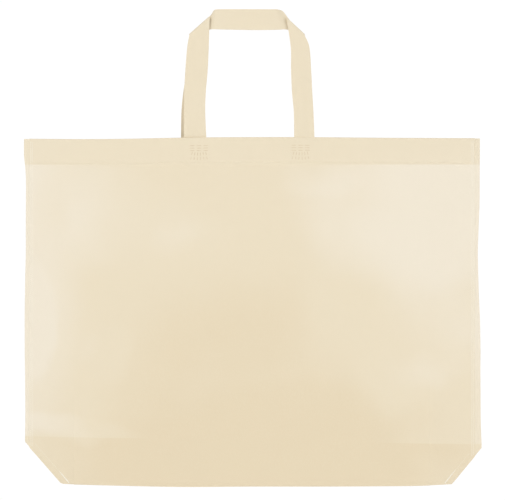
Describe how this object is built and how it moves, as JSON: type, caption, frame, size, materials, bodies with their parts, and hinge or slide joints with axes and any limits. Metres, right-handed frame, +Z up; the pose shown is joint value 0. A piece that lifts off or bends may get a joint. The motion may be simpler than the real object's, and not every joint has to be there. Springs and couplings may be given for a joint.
{
  "type": "shopping bag",
  "caption": "Flat welded non-woven cloth shopping bag with a folded bottom gusset, turned-in hem and short ribbon loop handles.",
  "frame": {"origin": "middle of the bag at the height of its bottom folds", "axes": "+X to the bag's right seen from the front, +Y from the front panel to the back panel, +Z up to the handles"},
  "size_m": [0.4992, 0.0142, 0.5235],
  "materials": {
    "bag_cloth": "bonded polypropylene non-woven, matt with a faint emboss",
    "hem_cloth": "the same non-woven, turned in and doubled",
    "gusset_cloth": "the same non-woven, creased at its folds",
    "handle_ribbon": "flat non-woven ribbon",
    "fused_cloth": "ultrasonically fused non-woven, smoother and slightly translucent"
  },
  "bodies": {
    "front_panel": {"front_panel": "bag_cloth", "front_hem": "hem_cloth", "front_hem_weld": "fused_cloth", "front_handle_left_tab": "handle_ribbon", "front_handle_right_tab": "handle_ribbon", "front_handle_stamps": "fused_cloth"},
    "gusset_front": {"gusset_front": "gusset_cloth"},
    "front_handle": {"front_handle_left_leg": "handle_ribbon", "front_handle_right_leg": "handle_ribbon", "front_handle_top": "handle_ribbon"},
    "front_left_side": {"front_left_side": "bag_cloth", "front_left_hem": "hem_cloth", "front_left_hem_weld": "fused_cloth", "front_left_corner_weld": "fused_cloth"},
    "gusset_front_left_end": {"gusset_front_left_end": "gusset_cloth"},
    "front_right_side": {"front_right_side": "bag_cloth", "front_right_hem": "hem_cloth", "front_right_hem_weld": "fused_cloth", "front_right_corner_weld": "fused_cloth"},
    "gusset_front_right_end": {"gusset_front_right_end": "gusset_cloth"},
    "back_panel": {"back_panel": "bag_cloth", "back_hem": "hem_cloth", "back_hem_weld": "fused_cloth", "back_handle_left_tab": "handle_ribbon", "back_handle_right_tab": "handle_ribbon", "back_handle_stamps": "fused_cloth"},
    "gusset_back": {"gusset_back": "gusset_cloth"},
    "back_handle": {"back_handle_left_leg": "handle_ribbon", "back_handle_right_leg": "handle_ribbon", "back_handle_top": "handle_ribbon"},
    "back_left_side": {"back_left_side": "bag_cloth", "back_left_hem": "hem_cloth", "back_left_hem_weld": "fused_cloth", "back_left_corner_weld": "fused_cloth"},
    "gusset_back_left_end": {"gusset_back_left_end": "gusset_cloth"},
    "back_right_side": {"back_right_side": "bag_cloth", "back_right_hem": "hem_cloth", "back_right_hem_weld": "fused_cloth", "back_right_corner_weld": "fused_cloth"},
    "gusset_back_right_end": {"gusset_back_right_end": "gusset_cloth"},
    "left_side_seam": {"left_side_seam": "fused_cloth"},
    "right_side_seam": {"right_side_seam": "fused_cloth"}
  },
  "joints": [
    {"name": "bag_opening", "type": "hinge", "parent": "back_panel", "child": "gusset_back", "pos_m": [0, 0.00659, 0], "axis": [1, 0, 0], "range_deg": [0, 83]},
    {"name": "gusset_centre_fold", "type": "hinge", "parent": "gusset_back", "child": "gusset_front", "pos_m": [0, 0, 0.04957], "axis": [-1, 0, 0], "range_deg": [0, 166]},
    {"name": "front_bottom_fold", "type": "hinge", "parent": "gusset_front", "child": "front_panel", "pos_m": [0, -0.00659, 0], "axis": [1, 0, 0], "range_deg": [0, 83]},
    {"name": "front_left_crease", "type": "hinge", "parent": "front_panel", "child": "front_left_side", "pos_m": [-0.1955, -0.00659, 0], "axis": [0, 0, -1], "range_deg": [0, 83]},
    {"name": "gusset_front_left_end_fold", "type": "hinge", "parent": "gusset_front", "child": "gusset_front_left_end", "pos_m": [-0.1955, -0.00659, 0], "axis": [0, 0.1219, 0.9925], "range_deg": [0, 90.1], "deforming": ["gusset_front_left_end"]},
    {"name": "front_right_crease", "type": "hinge", "parent": "front_panel", "child": "front_right_side", "pos_m": [0.1955, -0.00659, 0], "axis": [0, 0, 1], "range_deg": [0, 83]},
    {"name": "gusset_front_right_end_fold", "type": "hinge", "parent": "gusset_front", "child": "gusset_front_right_end", "pos_m": [0.1955, -0.00659, 0], "axis": [0, -0.1219, -0.9925], "range_deg": [0, 90.1], "deforming": ["gusset_front_right_end"]},
    {"name": "back_left_crease", "type": "hinge", "parent": "back_panel", "child": "back_left_side", "pos_m": [-0.1955, 0.00659, 0], "axis": [0, 0, 1], "range_deg": [0, 83]},
    {"name": "gusset_back_left_end_fold", "type": "hinge", "parent": "gusset_back", "child": "gusset_back_left_end", "pos_m": [-0.1955, 0.00659, 0], "axis": [0, 0.1219, -0.9925], "range_deg": [0, 90.1], "deforming": ["gusset_back_left_end"]},
    {"name": "back_right_crease", "type": "hinge", "parent": "back_panel", "child": "back_right_side", "pos_m": [0.1955, 0.00659, 0], "axis": [0, 0, -1], "range_deg": [0, 83]},
    {"name": "gusset_back_right_end_fold", "type": "hinge", "parent": "gusset_back", "child": "gusset_back_right_end", "pos_m": [0.1955, 0.00659, 0], "axis": [0, -0.1219, 0.9925], "range_deg": [0, 90.1], "deforming": ["gusset_back_right_end"]},
    {"name": "left_seam_fold", "type": "hinge", "parent": "back_left_side", "child": "left_side_seam", "pos_m": [-0.24513, 0, 0], "axis": [0, 0, -1], "range_deg": [0, 83]},
    {"name": "right_seam_fold", "type": "hinge", "parent": "back_right_side", "child": "right_side_seam", "pos_m": [0.24513, 0, 0], "axis": [0, 0, 1], "range_deg": [0, 83]},
    {"name": "front_handle_fold", "type": "hinge", "parent": "front_panel", "child": "front_handle", "pos_m": [0, -0.00674, 0.3823], "axis": [1, 0, 0], "range_deg": [0, 172]},
    {"name": "back_handle_fold", "type": "hinge", "parent": "back_panel", "child": "back_handle", "pos_m": [0, 0.00674, 0.3823], "axis": [-1, 0, 0], "range_deg": [0, 172]}
  ],
  "couplings": [
    {"joint": "gusset_centre_fold", "follows": "bag_opening", "ratio": 2},
    {"joint": "front_bottom_fold", "follows": "bag_opening", "ratio": 1},
    {"joint": "front_left_crease", "follows": "bag_opening", "ratio": 1},
    {"joint": "gusset_front_left_end_fold", "follows": "bag_opening", "ratio": 1.0843},
    {"joint": "front_right_crease", "follows": "bag_opening", "ratio": 1},
    {"joint": "gusset_front_right_end_fold", "follows": "bag_opening", "ratio": 1.0843},
    {"joint": "back_left_crease", "follows": "bag_opening", "ratio": 1},
    {"joint": "gusset_back_left_end_fold", "follows": "bag_opening", "ratio": 1.0843},
    {"joint": "back_right_crease", "follows": "bag_opening", "ratio": 1},
    {"joint": "gusset_back_right_end_fold", "follows": "bag_opening", "ratio": 1.0843},
    {"joint": "left_seam_fold", "follows": "bag_opening", "ratio": 1},
    {"joint": "right_seam_fold", "follows": "bag_opening", "ratio": 1}
  ]
}
